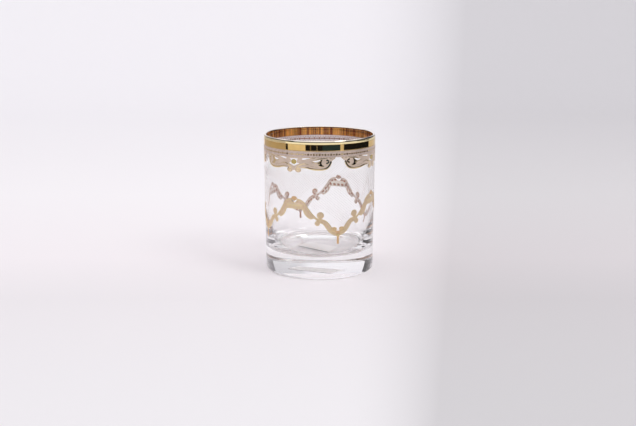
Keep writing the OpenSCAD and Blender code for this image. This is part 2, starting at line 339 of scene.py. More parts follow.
gold = {
    # the crest colour is a painted highlight over the top of the lip
    "polished": (0.82, 0.57, 0.22), "lip": (0.96, 0.82, 0.48), "crestHighlight": (1.0, 0.95, 0.84),
    "strip": (0.62, 0.51, 0.47), "frieze": (0.68, 0.55, 0.45), "garland": (0.76, 0.6, 0.45),
    "stud": (0.5, 0.4, 0.12), "yellow": (0.82, 0.68, 0.37), "line": (0.84, 0.67, 0.4),
    "warm": (0.77, 0.55, 0.37),
    # the undersides, and heights in metres over which the lip's painted highlight and painted shade set
    # in
    "pale": (1.0, 0.95, 0.87), "brown": (0.42, 0.12, 0.015), "lavender": (1.0, 0.96, 0.99),
    "umber": (0.32, 0.13, 0.06), "streakDark": (0.23, 0.045, 0.008), "streakLight": (1.0, 0.51, 0.12),
    "crestHighlightLevels": (0.0969, 0.0975), "paintedShadeLevels": (0.0966, 0.0969),
}
finish = {
    "lip": polishedMaterial("lipGold", gold["lip"], 0.03, 0.05, gold["crestHighlight"], gold["crestHighlightLevels"]),
    "band": polishedMaterial("bandGold", gold["polished"], 0.04, 0.2),
    "strip": goldMaterial("stripGold", gold["strip"], gold["polished"], 0.42, etch=(0.36, 0.27, 0.2)),
    "dots": polishedMaterial("dotGold", gold["line"], 0.03),
    "frieze": goldMaterial("friezeGold", gold["frieze"], gold["line"], 0.42),
    "stud": goldMaterial("studGold", gold["stud"], gold["yellow"], 0.35, 0.2),
    "garland": goldMaterial("garlandGold", gold["garland"], gold["yellow"], 0.5, 0.22,
                            etch=(0.9, 0.82, 0.74)),
    "warm": goldMaterial("warmGold", gold["warm"], gold["yellow"], 0.45, 0.2, etch=(0.8, 0.62, 0.4)),
    "bandBack": streakMaterial("bandBack", gold["streakDark"], gold["streakLight"], gold["paintedShadeLevels"]),
    "printBack": backMaterial("printBack", gold["pale"], gold["brown"]),
    "stripBack": backMaterial("stripBack", gold["lavender"], gold["umber"]),
    "glass": glassMaterial(),
    "frost": plainMaterial(
        "frostedLine", 1500.0, 2.0, (-0.3, 1.3), (0.7, 0.62, 0.6), (0.86, 0.8, 0.78), 0.6),
    # the label carries a painted shadow: nearly black along the edge that lies in its own shadow
    "paper": plainMaterial(
        "labelPaper", 2600.0, 3.0, (0.0, 1.0), (0.9, 0.87, 0.86), (0.98, 0.955, 0.945), 0.75,
        (0.12, 0.12, 0.115)),
}
print("finishes made:", len(finish))


def placePiece(piece, materials, nodes):
    for material in materials:
        piece.data.materials.append(material)
    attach(piece, "root")
    if nodes:
        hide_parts(*nodes)


def puntLevel(r):
    # underside of the hollow: a ball's cap that meets the foot ring at the punt's radius
    ball = (glass["puntRadius"] ** 2 + glass["puntDepth"] ** 2) / (2 * glass["puntDepth"])
    return glass["puntDepth"] - ball + np.sqrt(ball ** 2 - r ** 2)


def glassProfile():
    # From the middle of the base outwards, up the wall, over the lip and down to the floor: a
    # ball's cap, a flat ring, a quarter circle, a straight line, a half circle, a straight line,
    # a quarter of an oval and a flat disc.
    g = glass
    puntBend = g["puntRadius"] - g["puntRound"]
    r = np.concatenate([np.linspace(0, puntBend, 24), np.linspace(puntBend + 0.5, g["puntRadius"], 8)])
    punt = np.stack([r, puntLevel(r)], 1)
    heelStart = g["footRadius"] - g["heel"]
    foot = np.stack([np.linspace(g["puntRadius"] + 0.25, heelStart, 6), np.zeros(6)], 1)
    heel = arc(heelStart, g["heel"], g["heel"], -86, 0, 14)
    up = np.linspace(g["heel"] + 0.6, lipZ - 0.4, 60)
    over = arc(g["lipRadius"] - g["wallTop"] / 2, lipZ, g["wallTop"] / 2, 0, 180, 22)
    down = np.linspace(lipZ - 0.4, bowlZ + 0.4, 40)
    t = np.linspace(0, math.pi / 2, 64)
    bowl = np.stack([
        g["floorRadius"] + (innerRadius(bowlZ) - g["floorRadius"]) * np.cos(t),
        bowlZ - g["bowl"] * np.sin(t)], 1)
    inside = np.linspace(g["floorRadius"] - 0.3, 0, 26)
    floor = np.stack([inside, np.full(26, g["floor"])], 1)
    return np.concatenate([
        punt, foot, heel, np.stack([wallRadius(up), up], 1), over,
        np.stack([innerRadius(down), down], 1), bowl, floor])


tumbler = turned("glassTumbler", glassProfile(), False)
placePiece(tumbler, [finish["glass"]], ["glass_tumbler"])
print("glass made:", len(tumbler.data.polygons), "faces")


def rounded(share):
    # height of a rounded edge: a quarter circle from 0 at the edge to 1 at a share of 1
    return np.sqrt(np.clip(1 - (1 - np.minimum(1, share)) ** 2, 0, 1))


band = {"film": 0.16, "edge": 0.08, "edgeFilm": 0.3}


def bandProfile():
    # outer line up, a film above the wall and rounded off at both edges, then the inner line
    # down, sunk a little into the wall
    zLow, zHigh, edge = levels["strip"], levels["band"], band["edge"]
    quarter = 1 - np.cos(np.linspace(0, math.pi / 2, 5))
    flat = np.linspace(zLow + edge + 0.03, zHigh - edge - 0.03, 8)
    z = np.concatenate([zLow + edge * quarter, flat, zHigh - edge * quarter[::-1]])
    rise = rounded(np.minimum(z - zLow, zHigh - z) / edge)
    film = band["film"] * (band["edgeFilm"] + (1 - band["edgeFilm"]) * rise)
    inner = np.linspace(zHigh, zLow, 6)
    profile = np.concatenate([
        np.stack([wallRadius(z) + film, z], 1),
        np.stack([wallRadius(inner) - paper["sink"], inner], 1)])
    return profile, np.arange(len(z), len(z) + 5)


lip = {"insideEnd": 154, "lean": 0.09, "straight": 0.85, "bend": 1.75}


def lipProfile():
    # Outer line: up from the band, leaning in a little, over the lip as a tall quarter oval, and
    # down inside as an arc. Inner line: back along the glass, sunk a little into it.
    film, half = paper["film"], glass["wallTop"] / 2
    centre = glass["lipRadius"] - half
    rise = np.linspace(0, 1, 7)
    z = levels["band"] + rise * lip["straight"]
    outside = np.stack([wallRadius(z) + film * rounded(rise / 0.2 + 0.1) - lip["lean"] * rise, z], 1)
    t = np.linspace(0, math.pi / 2, 16)
    oval = np.stack([
        centre + (outside[-1, 0] - centre) * np.cos(t),
        glass["height"] + film + lip["bend"] * (np.sin(t) - 1)], 1)
    overTop = arc(centre, lipZ, half + film, 90, lip["insideEnd"], 10)[1:]
    down = np.linspace(lipZ, levels["band"], 7)
    inner = np.concatenate([
        arc(centre, lipZ, half - paper["sink"], lip["insideEnd"] + 1, 0, 21),
        np.stack([wallRadius(down) - paper["sink"], down], 1)[1:]])
    profile = np.concatenate([outside[:-1], oval, overTop, inner])
    return profile, np.arange(len(profile) - len(inner), len(profile) - 1)


for name, (profile, back), slotName, gilt, node in (
        ("rimBand", bandProfile(), "polished_gold", "band", "rim_band"),
        ("lipGilding", lipProfile(), "lip_gold", "lip", "lip_gilding")):
    ring = turned(name, profile, True, back)
    placePiece(ring, [finish[gilt], finish["bandBack"]], [node])
print("lip and band made")


# The printed pieces are height fields on the wall: a shape says where they lie, and a relief how
# high and how bright they are.

def smoothLine(points, steps, closed=False):
    # Catmull-Rom: each span leaves and arrives along half the chord of its neighbours
    p = np.array(points, float)
    n = len(p)
    i = np.arange(n if closed else n - 1)
    near = [(i + k) % n if closed else np.clip(i + k, 0, n - 1) for k in (-1, 0, 1, 2)]
    p0, p1, p2, p3 = (p[k][:, None] for k in near)
    t = (np.arange(steps) / steps)[None, :, None]
    line = (p1 + (p2 - p0) * t / 2 + (2 * p0 - 5 * p1 + 4 * p2 - p3) * t ** 2 / 2
            + (3 * p1 - 3 * p2 + p3 - p0) * t ** 3 / 2).reshape(-1, p.shape[1])
    return line if closed else np.concatenate([line, p[-1:]])


def onPaper(points):
    # degrees, in the first column, become millimetres along the wall
    p = np.array(points, float)
    p[:, 0] *= perDegree
    return p


def mirrored(points):
    p = np.array(points, float)[::-1].copy()
    p[:, 0] *= -1
    return p


def bothSides(half):
    # a half outline that starts on the middle line, closed by its mirror image
    return np.concatenate([half, mirrored(half)[:-1]])


def outlineDistance(x, z, ring):
    # distance to the nearest side of a closed outline, negative inside it
    best = np.full(x.shape, 1e9)
    inside = np.zeros(x.shape, bool)
    for (ax, az), (bx, bz) in zip(ring, np.roll(ring, -1, 0)):
        ex, ez = bx - ax, bz - az
        size = ex * ex + ez * ez
        if size < 1e-12:
            continue
        t = np.clip(((x - ax) * ex + (z - az) * ez) / size, 0, 1)
        best = np.minimum(best, np.hypot(x - ax - t * ex, z - az - t * ez))
        if az != bz:
            inside ^= ((az > z) != (bz > z)) & (x < ex * (z - az) / ez + ax)
    return np.where(inside, -best, best)


def strokeDistance(x, z, line):
    # distance to a line of varying half width: rows of (x, z, half width)
    best = np.full(x.shape, 1e9)
    for (ax, az, aw), (bx, bz, bw) in zip(line[:-1], line[1:]):
        ex, ez = bx - ax, bz - az
        t = np.clip(((x - ax) * ex + (z - az) * ez) / max(ex * ex + ez * ez, 1e-9), 0, 1)
        best = np.minimum(best, np.hypot(x - ax - t * ex, z - az - t * ez) - aw - (bw - aw) * t)
    return best


def ovalDistance(x, z, cx, cz, halfWidth, halfHeight):
    # near enough the distance to an oval: its normed radius times the mean half size
    k = np.hypot((x - cx) / halfWidth, (z - cz) / halfHeight)
    return (k - 1) * min(halfWidth, halfHeight)


def rampUp(distance, soft):
    # 1 well inside, 0 outside, smooth over soft millimetres
    t = np.clip(0.5 - distance / soft, 0, 1)
    return t * t * (3 - 2 * t)


class Relief:
    # gathers raised and sunk strokes: a height, where it is burnished and where it is marked
    def __init__(self, x):
        self.lift, self.shine, self.mark = np.zeros(x.shape), np.zeros(x.shape), np.zeros(x.shape)

    def paint(self, k, shine, mark):
        self.shine += (shine - self.shine) * k
        if mark is not None:
            self.mark += (mark - self.mark) * k

    def add(self, distance, lift, shine, mark, soft=0.2):
        # a stroke whose height and tone set in over soft millimetres
        k = rampUp(distance, soft)
        self.lift += lift * k
        self.paint(k, shine, mark)

    def dome(self, distance, size, lift, shine, mark):
        # a cushion: height grows with the square root of the way in from its edge
        self.lift += lift * np.sqrt(np.clip(-distance / size, 0, 1))
        self.paint(rampUp(distance, 0.2), shine, mark)


def cutGrid(half, heights, pitch, distanceOf):
    # A grid on the print's paper, cut along an outline: points nearer to it than about half the
    # pitch are moved onto it, against the distance's slope, so the edge follows it closely. Cells
    # with four solid corners stay whole and cells with three are halved.
    nu = int(round(2 * half / pitch)) + 1
    nv = int(round((heights[1] - heights[0]) / pitch)) + 1
    x, z = np.meshgrid(np.linspace(-half, half, nu), np.linspace(*heights, nv), indexing="ij")
    d = distanceOf(x, z)
    gx, gz = np.gradient(d, x[1, 0] - x[0, 0], z[0, 1] - z[0, 0])
    slope = np.maximum(gx ** 2 + gz ** 2, 0.25)
    near = np.abs(d) < 0.55 * pitch
    x, z = np.where(near, x - d * gx / slope, x), np.where(near, z - d * gz / slope, z)
    x, z = np.clip(x, -half, half), np.clip(z, *heights)
    corners = gridQuads(np.arange(nu * nv).reshape(nu, nv))
    filled = (near | (d < 0)).ravel()[corners]
    whole = corners[filled.all(1)]
    three = filled.sum(1) == 3
    order = (np.argmin(filled[three], 1)[:, None] + np.array([1, 2, 3])) % 4
    halves = np.take_along_axis(corners[three], order, 1)
    # a cell whose every corner lies on the outline but whose middle is outside it is dropped
    whole, halves = (
        cells[distanceOf(x.ravel()[cells].mean(1), z.ravel()[cells].mean(1)) < limit]
        for cells, limit in ((whole, 0.05), (halves, 0.02)))
    return x, z, d, np.where(near, 0, -d), whole, halves


def openEdges(count, faces):
    # an edge is open where no neighbour runs along it the other way
    edges = np.concatenate([np.stack([f, np.roll(f, -1, 1)], -1).reshape(-1, 2) for f in faces])
    start, end = edges.astype(np.int64).T
    return edges[~np.isin(start * count + end, end * count + start)]


def layPrint(name, middle, half, heights, distanceOf, reliefOf, pitch, climbs):
    # Front points stand a film and the relief out of the wall, back points are sunk a little into
    # it, and a wall of quads joins the two along every open edge.
    x, z, d, depth, whole, halves = cutGrid(half, heights, pitch, distanceOf)
    relief = Relief(x)
    reliefOf(relief, x, z, d)
    rim = openEdges(x.size, [whole, halves])
    used, (whole, halves, rim) = onlyUsed(x.size, [whole, halves, rim])
    x, z, depth, lift, shine, mark = (
        field.ravel()[used] for field in (x, z, depth, relief.lift, relief.shine, relief.mark))
    angle = middle + x / perDegree
    if climbs:
        z = z + climbAt(angle)
    height = (paper["film"] * 0.85 + lift) * rounded((depth + 0.04) / 0.25)
    front = wallRadius(z) + np.clip(height, 0.04, paper["film"] + 0.1)
    back = wallRadius(z) - paper["sink"]
    turn = np.radians(printTurn(angle))
    points = np.concatenate([aroundAxis(turn, r, z) for r in (front, back)])
    n = len(used)
    side = np.stack([rim[:, 1], rim[:, 0], rim[:, 0] + n, rim[:, 1] + n], 1)
    faces = [whole, halves, whole[:, ::-1] + n, halves[:, ::-1] + n, side]
    cells = len(whole) + len(halves)
    backFaces = np.concatenate([np.zeros(cells), np.ones(cells), np.zeros(len(side))])
    marks = {"shine": np.tile(shine, 2), "mark": np.tile(mark, 2)}
    piece = makeMesh(name, points, faces, marks, backFaces)
    piece.data.set_sharp_from_angle(angle=math.radians(62))
    return piece


def printRows(rows, climbs):
    # four repeats of each row of pieces, a quarter turn apart
    for number in range(1, 5):
        for name, node, slotName, aside, half, heights, shape, relief, gilt, pitch in rows:
            middle = 90 * (number - 1) + aside
            piece = layPrint(f"{name}{number}", middle, half, heights, shape, relief, pitch, climbs)
            placePiece(piece, [finish[gilt], finish["printBack"]], [f"{node}_{number}"])


strip = {
    "columns": 1152, "row": 0.16, "film": 0.16, "scallops": 64, "scallopZ": 90.6, "sag": 0.7,
    "scallopHalf": 0.11, "beadLine": (88.0, 89.35), "topLine": (91.0, 0.17),
    "dashZ": 86.98, "dashHalf": (0.5, 0.13), "scorchZ": (87.2, 90.0),
}
dots = {"count": 128, "halfWidth": 0.52, "tall": 0.62, "short": 0.4, "z": 88.6, "lift": 0.1}


def stripRelief(relief, x, z):
    # bead line, scallops as parabolas hung on even points, a line on top, dashes at the foot,
    # and a mark round every dot; what comes back is the mark on the underside
    step = paper["round"] / strip["scallops"]
    sag = strip["sag"] * (1 - (2 * nearest(x, step) / step) ** 2)
    low, high = strip["beadLine"]
    relief.add(np.maximum(low - z, z - high), lift=0.03, shine=0.2, mark=0.0)
    scallop = stripe(z - strip["scallopZ"] + sag, strip["scallopHalf"])
    relief.add(scallop, lift=0.05, shine=0.5, mark=0.12)
    topZ, topHalf = strip["topLine"]
    relief.add(stripe(z - topZ, topHalf), lift=0.0, shine=1.0, mark=0.2)
    dashHalf, dashTall = strip["dashHalf"]
    dash = np.maximum(
        stripe(nearest(x - step / 4, step / 2), dashHalf), stripe(z - strip["dashZ"], dashTall))
    relief.add(dash, lift=0.03, shine=0.85, mark=0.3, soft=0.15)
    dotStep = paper["round"] / dots["count"]
    tall = np.where(np.round(x / dotStep) % 2 == 0, dots["tall"], dots["short"])
    k = np.hypot(nearest(x, dotStep) / (dots["halfWidth"] * 1.1), (z - dots["z"]) / tall)
    relief.mark = np.maximum(relief.mark, np.clip((1.45 - k) * 4, 0, 1))
    # the underside is scorched in two more rows of spots, between the dots
    backMark = relief.mark
    between = nearest(x - dotStep / 2, dotStep)
    for level in strip["scorchZ"]:
        k = np.hypot(between / dots["halfWidth"], (z - level) / dots["short"])
        backMark = np.maximum(backMark, np.clip((1.2 - k) * 3, 0, 0.5))
    return backMark


def makeStrip():
    # One grid right round the glass, closed on itself: x runs along the wall and z up. The front
    # stands a film and its relief above the wall, the underside is sunk a little into it.
    count = strip["columns"]
    z = np.concatenate([
        [levels["panel"]], np.arange(levels["panel"] + 0.06, levels["strip"], strip["row"]),
        [levels["strip"]]])
    turn = np.arange(count) / count * math.tau
    x, zz = np.meshgrid(np.degrees(turn) * perDegree, z, indexing="ij")
    relief = Relief(x)
    backMark = stripRelief(relief, x, zz)
    rise = rounded((np.minimum(zz - levels["panel"], levels["strip"] - zz) + 0.03) / 0.15)
    front = wallRadius(zz) + np.clip((strip["film"] + relief.lift) * rise, 0.04, 0.3)
    back = wallRadius(zz) - paper["sink"]
    points = np.concatenate([
        aroundAxis(turn[:, None], r, zz).reshape(-1, 3) for r in (front, back)])
    index = np.arange(zz.size).reshape(zz.shape)
    after = np.roll(index, -1, 0)
    quads = gridQuads(np.concatenate([index, index[:1]]))
    total = zz.size
    lowSide = np.stack([after[:, 0], index[:, 0], index[:, 0] + total, after[:, 0] + total], -1)
    highSide = np.stack([index[:, -1], after[:, -1], after[:, -1] + total, index[:, -1] + total], -1)
    faces = [quads, quads[:, ::-1] + total, lowSide, highSide]
    backFaces = np.concatenate([np.zeros(len(quads)), np.ones(len(quads)), np.zeros(2 * count)])
    marks = {"shine": np.tile(relief.shine.ravel(), 2),
             "mark": np.concatenate([relief.mark.ravel(), backMark.ravel()])}
    return makeMesh("beadStrip", points, faces, marks, backFaces)


placePiece(makeStrip(), [finish["strip"], finish["stripBack"]], ["bead_strip"])


def makeDots():
    # Each dot is a low oval tablet: a side ring and a top ring of 12 points, its middle, and a
    # foot ring in the strip. Columns are across, up and out, as shares of the dot's half sizes.
    t = np.arange(12) / 12 * math.tau
    circle = np.stack([np.cos(t), np.sin(t)], 1)
    shape = np.concatenate([
        np.column_stack([circle, np.full(12, 0.3)]), np.column_stack([0.86 * circle, np.ones(12)]),
        [[0, 0, 1.0]], np.column_stack([circle, np.full(12, -0.3)])])
    i = np.arange(dots["count"])
    tall = np.where(i % 2 == 0, dots["tall"], dots["short"])
    turn = np.radians(i[:, None] * 360 / dots["count"]
                      + shape[None, :, 0] * dots["halfWidth"] / perDegree)
    z = dots["z"] + shape[None, :, 1] * tall[:, None]
    r = wallRadius(z) + strip["film"] + shape[None, :, 2] * dots["lift"]
    points = aroundAxis(turn, r, z).reshape(-1, 3)
    a = np.arange(12)
    b = np.roll(a, -1)
    side = np.stack([a, b, b + 12, a + 12], 1)
    cap = np.stack([a + 12, b + 12, np.full(12, 24)], 1)
    skirt = np.stack([b, a, a + 25, b + 25], 1)
    foot = (np.arange(12) + 25)[::-1][None]
    base = (i * 37)[:, None, None]
    faces = [(f[None] + base).reshape(-1, f.shape[1]) for f in (side, cap, skirt, foot)]
    piece = makeMesh("beadRow", points, faces)
    piece.data.set_sharp_from_angle(angle=math.radians(25))
    return piece


placePiece(makeDots(), [finish["dots"]], ["bead_row"])
print("strip and dots made")

# The frieze: outlines in degrees from a panel's middle and in heights, the rest in millimetres
frieze = {
    "edge": [(0, 80.0), (2.5, 79.5), (8, 79.1), (11, 79.15), (14.6, 78.9), (19, 78.15), (23.8, 77.75),
             (27.5, 77.7), (31.1, 78.0), (34.1, 78.7), (36.3, 80.0), (37.8, 81.6), (38.6, 83.2),
             (38.5, 84.3), (39.5, 84.7), (40.5, 85.2), (41.9, 86.0), (42, 86.8)],
    "shield": [(0, 80.4), (6.3, 82.35), (3.5, 82.8), (3.4, 84.7), (4.7, 85.15), (4.6, 85.75)],
    "topSlot": [(9.0, 85.85), (9.7, 84.95), (13, 85.3), (17.6, 86.15), (13, 86.3)],
    "sideSlot": [(27.4, 85.25), (26.6, 84.3), (23.5, 83.45), (19.8, 84.05), (23.5, 84.7)],
    "curl": (4.7, 77.8, 2.35, 1.75), "bridge": (78.75, 1.7, 1.35), "eye": (30.9, 82.75, 1.55),
    "stud": (83.4, 2.1, 1.65), "spots": [(41.2, 86.15), (39.35, 84.75)],
}
# burnished strokes: points in degrees and heights, half widths from end to end, and shine
strokes = {
    "edge": [
        # rim along the lower edge: broad under the scroll, broadest round the volute
        ([(9, 79.55), (12, 79.6), (15.5, 79.3), (19, 78.7), (24, 78.3), (28, 78.25), (31.5, 78.6),
          (34, 79.3), (36, 80.6), (37.2, 82.1), (37.8, 83.7)],
         [0.2, 0.4, 0.6, 0.65, 0.68, 0.76, 0.84, 0.86, 0.8, 0.6], 1.0),
        # sweep from beside the shield down over the curl
        ([(16.5, 81.5), (13.5, 82.1), (10.8, 82.2), (7.2, 81.3), (3.9, 79.9), (2.2, 78.6)],
         [0.08, 0.2, 0.32, 0.36, 0.3, 0.18], 1.0)],
    "volute": [
        # thick crescent on the side of the panel's middle, and the hook opposite
        ([(29.0, 84.9), (27.6, 84.1), (26.9, 82.9), (27.3, 81.7), (28.9, 80.95), (31.0, 80.75)],
         [0.35, 0.85, 1.2, 1.15, 0.75, 0.25], 1.0),
        ([(34.0, 84.75), (35.4, 84.2), (35.5, 83.3), (34.0, 82.65)], [0.7, 0.45, 0.45, 0.7], 1.0),
        # fine lines that run from the volute into the scroll
        ([(20.8, 84.3), (24.3, 85.2), (27.4, 85.8), (31.0, 85.95), (34.6, 86.4)],
         [0.15, 0.28, 0.36, 0.3, 0.15], 1.0),
        ([(19.2, 83.55), (22, 83.1), (24.4, 82.8), (26.6, 82.6)], [0.1, 0.25, 0.32, 0.36], 1.0),
        ([(18.8, 86.35), (20.4, 86.25), (22.2, 86.3)], [0.12, 0.2, 0.12], 1.0),
        ([(24.5, 80.2), (20.5, 80.4), (16, 81.1)], [0.05, 0.11, 0.05], 0.7),
        ([(36.2, 86.3), (37.5, 86.2), (38.6, 85.8)], [0.1, 0.16, 0.1], 0.8)],
}
edgeLine = smoothLine(onPaper(frieze["edge"]), 4)
friezeOutline = bothSides(np.concatenate([edgeLine, [[edgeLine[-1][0], 88.0]]]))
shieldOutline = bothSides(onPaper(frieze["shield"]))
openings = [shieldOutline]
for slot in ("topSlot", "sideSlot"):
    ring = smoothLine(onPaper(frieze[slot]), 4, True)
    openings += [ring, mirrored(ring)]


def curlDistance(x, z):
    a, cz, halfWidth, halfHeight = frieze["curl"]
    return ovalDistance(np.abs(x), z, a * perDegree, cz, halfWidth, halfHeight)


def friezeShape(x, z):
    # the panel with its two curls and the bridge between them, less its openings
    d = np.minimum(outlineDistance(x, z, friezeOutline), curlDistance(x, z))
    d = np.minimum(d, ovalDistance(x, z, 0, *frieze["bridge"]))
    cuts = [outlineDistance(x, z, ring) for ring in openings]
    return np.maximum(np.maximum(d, z - levels["panel"]), -np.min(cuts, 0))


def widthLine(points, widths):
    # adds half widths, spread evenly along the line
    p = np.array(points, float)
    w = np.interp(np.linspace(0, 1, len(p)), np.linspace(0, 1, len(widths)), widths)
    return np.concatenate([p, w[:, None]], 1)


def spiral(cx, cz, outer, inner, start, turns, count):
    # radius falls evenly from outer to inner while the angle turns; turns below 0 go clockwise
    t = np.linspace(0, 1, count)
    angle = np.radians(start) + turns * math.tau * t
    r = outer + (inner - outer) * t
    return np.stack([cx + r * np.cos(angle), cz + r * np.sin(angle)], 1)


def polish(relief, x, z, strokeList):
    # each stroke is a smooth curve through its points, with half widths spread along it
    for line, widths, shine in strokeList:
        stroke = widthLine(smoothLine(onPaper(line), 5), widths)
        relief.add(strokeDistance(x, z, stroke), lift=0.012, shine=shine, mark=0.6, soft=0.12)


def friezeRelief(relief, x, z, d):
    ax = np.abs(x)
    polish(relief, ax, z, strokes["edge"])
    # the curl: a half bright ground, a coil that winds in, and a boss in its middle
    a, cz, curlWidth, curlHeight = frieze["curl"]
    turn = np.radians(np.linspace(130, -215, 26))
    coil = np.stack([
        a * perDegree + np.cos(turn) * np.linspace(curlWidth - 0.35, 0.5, 26),
        cz + np.sin(turn) * np.linspace(curlHeight - 0.35, 0.35, 26)], 1)
    coil = widthLine(coil, [0.3, 0.36, 0.28, 0.16])
    relief.add(curlDistance(x, z), lift=0.0, shine=0.4, mark=None, soft=0.4)
    relief.add(strokeDistance(ax, z, coil), lift=0.015, shine=1.0, mark=0.85, soft=0.14)
    boss = np.hypot(ax - (a + 1.4) * perDegree, z - cz) - 0.8
    relief.dome(boss, size=0.8, lift=0.05, shine=0.55, mark=0.6)
    # the volute: a plain raised eye between its strokes
    a, cz, r = frieze["eye"]
    relief.dome(np.hypot(ax - a * perDegree, z - cz) - r, size=r, lift=0.03, shine=0.0, mark=0.0)
    polish(relief, ax, z, strokes["volute"])
    # bright spots on the bracket between volute and strip, and a fine frame round each opening
    for a, cz in frieze["spots"]:
        spot = np.hypot(ax - a * perDegree, z - cz) - 0.36
        relief.add(spot, lift=0.03, shine=1.0, mark=0.9, soft=0.14)
    for ring in openings:
        border = stripe(outlineDistance(x, z, ring) - 0.22, 0.08)
        relief.add(border, lift=0.03, shine=0.4, mark=0.5, soft=0.15)


def studShape(x, z):
    return ovalDistance(x, z, 0, *frieze["stud"])


def studRelief(relief, x, z, d):
    # a cushion with a dark ring on it and a bright spot up to the left
    cz, halfWidth, halfHeight = frieze["stud"]
    cushion = ovalDistance(x, z, 0, cz, halfWidth - 0.35, halfHeight - 0.35)
    relief.dome(cushion, size=1.2, lift=0.08, shine=0.0, mark=0.5)
    ring = stripe(ovalDistance(x, z, 0, cz, 1.2, 0.85), 0.12)
    relief.add(ring, lift=0.02, shine=0.5, mark=0.9)
    spot = ovalDistance(x, z, -0.15, cz + 0.35, 0.35, 0.28)
    relief.add(spot, lift=0.03, shine=0.9, mark=1.0)


printRows([
    ("friezePanel", "frieze_panel", "frieze_gold", 0, 42.6 * perDegree, (75.8, 86.8),
     friezeShape, friezeRelief, "frieze", 0.2),
    ("friezeStud", "frieze_stud", "stud_gold", 0, 2.3, (81.6, 85.2),
     studShape, studRelief, "stud", 0.15)], False)
print("frieze made")

# The garland: outlines in degrees from an arch's middle and in heights; the web is given from
# the low point, half a repeat away
garland = {
    "top": [(0, 57.9), (4.4, 57.6), (6.2, 57.4), (8.2, 56.9), (10.2, 56.1), (12, 55.0), (13.2, 53.5),
            (15, 51.8), (17, 49.9), (19.1, 48), (20.9, 46.7), (22.7, 45.4), (24.2, 44.6), (26, 44.3),
            (28.5, 44), (30.7, 43.5), (32.3, 43), (34.3, 42), (36.3, 40.5), (37.9, 38.95),
            (39.2, 37.6), (41, 36), (43, 34.9), (45, 34.3)],
    "foot": [(0, 50.4), (5, 50.4), (8.3, 50.35), (9.6, 49.75), (10.2, 48.75), (11.4, 47.1), (13.05, 45.7),
             (15.05, 44.5), (16.7, 43.9), (18.1, 43.4), (19.1, 43.9), (21.1, 44.1), (22.7, 43.5),
             (23.9, 42.7), (25.5, 41.6), (27.1, 41), (29.5, 40.4), (31.1, 39.2), (32.7, 37.5),
             (34.3, 35.9), (36.3, 34.3), (38.7, 33.1), (41.1, 32.2), (43.1, 31.7), (45, 31.5)],
    "opening": [(-3.4, 57.05), (-1.6, 56.5), (0, 55.9), (1.6, 56.5), (3.4, 57.05), (1.98, 55.5),
                (0, 54.65), (-1.98, 55.5)],
    "web": [(-1.4, 31.6), (-3.2, 35.5), (0, 35.2), (3.2, 35.5), (1.4, 31.6)],
    "crown": (57.906, 2.2, 1.4), "boss": (57.9, 1.0, 0.55),
    "rosette": (27.5, 46.4, 2.45), "smallRosette": (24.5, 40.8, 1.85),
    "scroll": (3.9, 36.5, 1.95, 1.6), "vein": [(0.5, 32.6), (1.4, 33.9), (2.2, 34.9)],
    "bead": (32.11, 1.25), "drop": (0.75, 25.86),
}
# rows of the arch: (middle, half height), counted down from its top, but under and glow in heights
archRows = {
    "step": 2.8, "dashHalf": 1.15, "dash": (0.5, 0.5), "clear": (1.2, 0.26), "beadHalf": 1.0,
    "bead": (2.15, 0.75), "lowClear": (3.05, 0.3), "leafStep": 3.2, "leaf": 1.2, "leafTop": 3.3,
    "underStep": 3.4, "underHalf": 1.1, "under": (51.9, 0.85), "glow": (52.9, 0.7),
}
topLine = smoothLine(onPaper(garland["top"]), 4)
footLine = smoothLine(onPaper(garland["foot"]), 4)
archOutline = np.concatenate([
    topLine, footLine[::-1], mirrored(footLine)[::-1][1:], mirrored(topLine)[:-1]])
openingOutline = smoothLine(onPaper(garland["opening"]), 4, True)
webOutline = onPaper(garland["web"])
lowX = 45 * perDegree


def crownDistance(x, z):
    return ovalDistance(x, z, 0, *garland["crown"])


def rosetteDistance(x, z):
    # to the nearer of the large and the small disc
    return np.min([
        np.hypot(np.abs(x) - a * perDegree, z - cz) - r
        for a, cz, r in (garland["rosette"], garland["smallRosette"])], 0)


def scrollDistance(x, z):
    # this and the next two count x from the low point
    a, cz, halfWidth, halfHeight = garland["scroll"]
    return ovalDistance(np.abs(x), z, a * perDegree, cz, halfWidth, halfHeight)


def pendantDistance(x, z):
    (cz, r), (half, foot) = garland["bead"], garland["drop"]
    drop = np.maximum(stripe(x, half), np.maximum(z - cz, foot - z))
    return np.minimum(np.hypot(x, z - cz) - r, drop)


def knotDistance(x, z):
    knot = np.minimum(scrollDistance(x, z), outlineDistance(x, z, webOutline))
    return np.maximum(knot, -pendantDistance(x, z))


def archShape(x, z):
    # the wavy band, less its opening and every piece of its own that stands in it
    cuts = [outlineDistance(x, z, openingOutline), crownDistance(x, z), rosetteDistance(x, z)]
    for side in (-1, 1):
        local = x - side * lowX
        cuts += [
            scrollDistance(local, z), outlineDistance(local, z, webOutline), pendantDistance(local, z)]
    return np.maximum(outlineDistance(x, z, archOutline), -np.min(cuts, 0))


